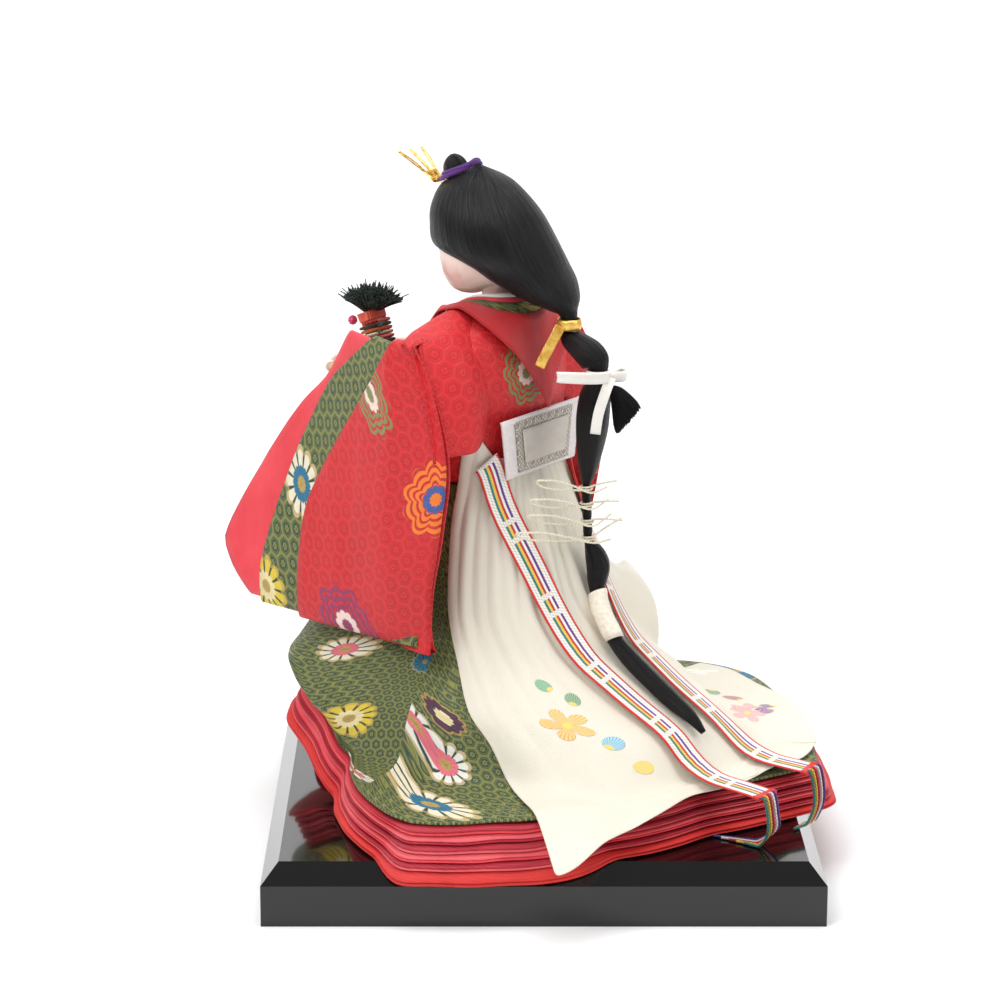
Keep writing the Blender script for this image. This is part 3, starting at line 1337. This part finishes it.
def upright_band(name, plan, level, finish, parent):
    """Closed loop of ribbon standing on its edge"""
    rings = []
    count = len(plan)
    for index, point in enumerate(plan):
        run = (plan[(index + 1) % count] - plan[index - 1]).normalized()
        out = Vector((run.y, -run.x, 0.0)) * HAIR_RIBBON_THICK / 2
        rise = Vector((0.0, 0.0, HAIR_RIBBON_WIDTH / 2))
        centre = Vector((point.x, point.y, level))
        rings.append([centre - out - rise, centre + out - rise, centre + out + rise, centre - out + rise])
    return loft(name, rings, finish, parent, wrap=True)


def closed_catmull(shares, scale, steps):
    """Smooth closed plan curve through a table's places"""
    route = [Vector((side, back, 0.0)) * scale for side, back in shares]
    count = len(route)
    curve = []
    for index in range(count):
        before, start, end, after = (route[(index + shift) % count] for shift in (-1, 0, 1, 2))
        for step in range(steps):
            t = step / steps
            curve.append(spline_point(before, start, end, after, t))
    return curve


def ring_band(name, centre, radius, finish, parent):
    """Ribbon wound round the tail"""
    plan = [Vector((centre.x + radius * math.cos(turn), centre.y + radius * math.sin(turn), 0.0))
            for turn in (TAU * step / TAIL_AROUND for step in range(TAIL_AROUND))]
    return upright_band(name, plan, centre.z, finish, parent)


def ribbon_end(name, shares, finish, parent):
    """Hanging end of a tied ribbon"""
    route = catmull([tail_point(*share) for share in shares], TIE_STEPS)
    sides = [Vector((END_FACE_SHARE, 1.0, 0.0)).normalized()] * len(route)
    return strip(name, route, sides, HAIR_RIBBON_WIDTH, HAIR_RIBBON_THICK, finish, parent)


def build_ties(parent):
    """Gold and white ribbons tied round the tail"""
    first = tail_point(*UPPER_TAIL_SHARES[0][:3])
    tie = LOWER_TAIL_SHARES[0][3] * TAIL_RADIUS + TIE_CLEARANCE
    rise = Vector((0.0, 0.0, 4 * GAP + HAIR_RIBBON_WIDTH / 2))
    gold = ring_band("gold_ribbon", first + rise, tie + GAP, "gold", parent)
    boolean(gold, ribbon_end("gold_end", GOLD_END_SHARES, "gold", parent), "UNION")
    second = tail_point(*LOWER_TAIL_SHARES[0][:3])
    white = ring_band("white_ribbon", second - Vector((0.0, 0.0, HAIR_RIBBON_WIDTH / 2)), tie, "white_silk",
                      parent)
    level = second.z - HAIR_RIBBON_WIDTH / 2
    for name, shares in (("left_loop", LEFT_LOOP_SHARES), ("right_loop", RIGHT_LOOP_SHARES)):
        plan = closed_catmull(shares, TAIL_REACH, LOOP_STEPS)
        boolean(white, upright_band(name, plan, level, "white_silk", parent), "UNION")
    knot = ball("bow_knot", (0.0, second.y + tie + BOW_KNOT / 2, level),
                (BOW_KNOT, BOW_KNOT * BOW_KNOT_DEPTH_SHARE, HAIR_RIBBON_WIDTH * BOW_KNOT_RISE_SHARE),
                "white_silk", parent, 4, 10)
    boolean(white, knot, "UNION")
    boolean(white, ribbon_end("white_end", WHITE_END_SHARES, "white_silk", parent), "UNION")


# Reach of each string's loop to her left, its rise, and the reach of its two right ends
STRING_LOOP_SHARES = ((0.17, -0.09, 0.055), (0.18, -0.11, 0.045), (0.19, -0.12, 0.05), (0.25, -0.13, 0.06))
STRING_END_SHARES = ((0.13, 0.02, -0.01), (0.15, 0.015, -0.03), (0.16, 0.02, -0.04), (0.18, 0.0, 0.02))

# Teardrop loop of a string: way along the loop and rise
TEARDROP_SHARES = (
    (0.35, 0.6), (0.7, 1.0), (0.95, 0.7), (1.0, 0.0), (0.95, -0.7), (0.7, -1.0), (0.35, -0.6),
)
LOWER_END_SHARE = 0.6


def build_strings(parent):
    """Four white strings tied round the thin part of the tail"""
    centres, radii = tail_places()
    for order, place in enumerate(STRING_PLACES):
        centre = centres[place]
        reach = radii[place] + STRING_RADIUS + GAP + GAP
        loop = Vector(STRING_LOOP_SHARES[order]) * TAIL_REACH
        end = Vector(STRING_END_SHARES[order]) * TAIL_REACH
        end.x = -end.x
        points = [centre + end + Vector((0.0, reach, STRING_RISE)),
                  centre + end / 2 + Vector((0.0, reach, STRING_RISE))]
        for step in range(STRING_STEPS):
            turn = math.radians(STRING_START_DEG - STRING_STEP_DEG * step)
            rise = STRING_RISE * (0.5 - step / (STRING_STEPS - 1))
            points.append(centre + Vector((reach * math.cos(turn), reach * math.sin(turn), rise)))
        knot = points[-1]
        side = loop.cross(Vector((0.0, 0.0, 1.0))).normalized()
        lift = side.cross(loop).normalized() * STRING_LOOP_HALF
        lift = lift if lift.z < 0.0 else -lift
        passing = Vector((0.0, STRING_PASS, -STRING_PASS / 3))
        for along, rise in TEARDROP_SHARES:
            points.append(knot + passing * (rise < 0.0) + loop * along + lift * rise)
        points.append(knot + passing)
        points.append(knot + passing + Vector((end.x, end.y, -end.z)) * LOWER_END_SHARE)
        tube(f"tie_string_{order + 1}", points, STRING_RADIUS, "white_silk", parent)


# Fan

# Share of the fan's length, of its width and depth
FAN_RING_SHARES = ((0.0, 0.62), (0.25, 0.7), (0.88, 0.93), (0.89, 1.0), (1.0, 1.04))
FAN_AROUND = 16


def fan_section(share, extra, turn):
    """Place on the folded fan's rounded section, out from its middle line"""
    size = interpolate(FAN_RING_SHARES, share)
    parts = (math.cos(turn), math.sin(turn))
    wide, thick = (math.copysign(abs(part) ** FAN_FULLNESS, part) for part in parts)
    return (FAN_WIDTH / 2 * size + extra) * wide, (FAN_DEPTH / 2 * size + extra) * thick


def fan_point(share, extra, turn):
    """Place on the tilted fan in the doll's frame"""
    tilt = math.radians(FAN_TILT_DEG)
    along = Vector((0.0, -math.sin(tilt), math.cos(tilt)))
    front = Vector((0.0, -math.cos(tilt), -math.sin(tilt)))
    foot = Vector((FAN_SIDE, FAN_BACK, FAN_BOTTOM))
    across, deep = fan_section(share, extra, turn)
    return foot + along * FAN_LENGTH * share + Vector((across, 0.0, 0.0)) + front * deep


def build_fan(parent):
    """Folded fan wound with cord, its thread tuft and bead"""
    rings = [[fan_point(share, 0.0, TAU * step / FAN_AROUND) for step in range(FAN_AROUND)]
             for share, _ in FAN_RING_SHARES]
    loft("fan_ribs", rings, "coral", parent)
    points = []
    total = WINDING_TURNS * WINDING_STEPS
    length = WINDING_PITCH * WINDING_TURNS
    top = FAN_RING_SHARES[-3][0] - WINDING_RADIUS / FAN_LENGTH
    for step in range(total + 1):
        share = top - length / FAN_LENGTH * (1.0 - step / total)
        points.append(fan_point(share, WINDING_RADIUS + GAP, TAU * step / WINDING_STEPS))
    print("least gap between turns of the fan's cord, mm:",
          round(least_gap(points, WINDING_STEPS, WINDING_RADIUS) / MILLIMETRE, 3))
    tube("fan_winding", points, WINDING_RADIUS, "coral", parent, 1)
    rings = []
    for share, wide in FAN_TUFT_SHARES:
        place = 1.0 + (GAP + TUFT_RADIUS * share) / FAN_LENGTH
        rings.append([fan_point(place, TUFT_RADIUS * wide - FAN_DEPTH / 2, TAU * step / FAN_AROUND)
                      for step in range(FAN_AROUND)])
    loft("fan_tuft", rings, "tuft_green", parent)
    middle = fan_point(1.0 - BEAD_DROP / FAN_LENGTH, BEAD_RADIUS + GAP, math.radians(BEAD_TURN_DEG))
    ball("fan_bead", middle, (BEAD_RADIUS, BEAD_RADIUS, BEAD_RADIUS), "pink", parent, 5, 12)


MILLIMETRE = 0.001
FAN_TUFT_SHARES = ((0.0, 0.4), (0.35, 0.75), (0.8, 1.0), (1.3, 1.05), (1.7, 0.9), (2.0, 0.5))


def least_gap(points, turn_steps, radius):
    """Smallest distance between surfaces of turns that lie side by side"""
    least = FAN_LENGTH
    for index, point in enumerate(points):
        for other in points[index + turn_steps // 2:]:
            least = min(least, (point - other).length - 2 * radius)
    return least


def main():
    """Build every piece in the order in which they lean on one another"""
    clear_scene()
    doll = bpy.data.objects.new("doll_frame", None)
    bpy.context.scene.collection.objects.link(doll)
    doll.location = (DOLL_X, DOLL_Y, BOARD_HEIGHT)
    doll.rotation_euler = (0.0, 0.0, math.radians(DOLL_TURN_DEG))
    build_board()
    build_hem(doll)
    build_robe(doll)
    build_core(doll)
    build_jacket(doll)
    build_arms(doll)
    build_collars(doll)
    build_train(doll)
    build_belt(doll)
    build_ribbons(doll)
    build_head(doll)
    build_hair(doll)
    build_hairpin(doll)
    build_tail(doll)
    build_ties(doll)
    build_strings(doll)
    build_fan(doll)


def build_board():
    """Lacquered board with a bevelled top edge"""
    rings = []
    for height, inset in ((0.0, 0.0), (BOARD_SIDE, 0.0), (BOARD_HEIGHT, BOARD_BEVEL)):
        half_x = BOARD_WIDTH / 2 - inset
        half_y = BOARD_DEPTH / 2 - inset
        rings.append([Vector((x * half_x, y * half_y, height))
                      for x, y in ((-1, -1), (1, -1), (1, 1), (-1, 1))])
    loft("lacquer_base", rings, "lacquer", None, smooth_deg=20.0)


main()
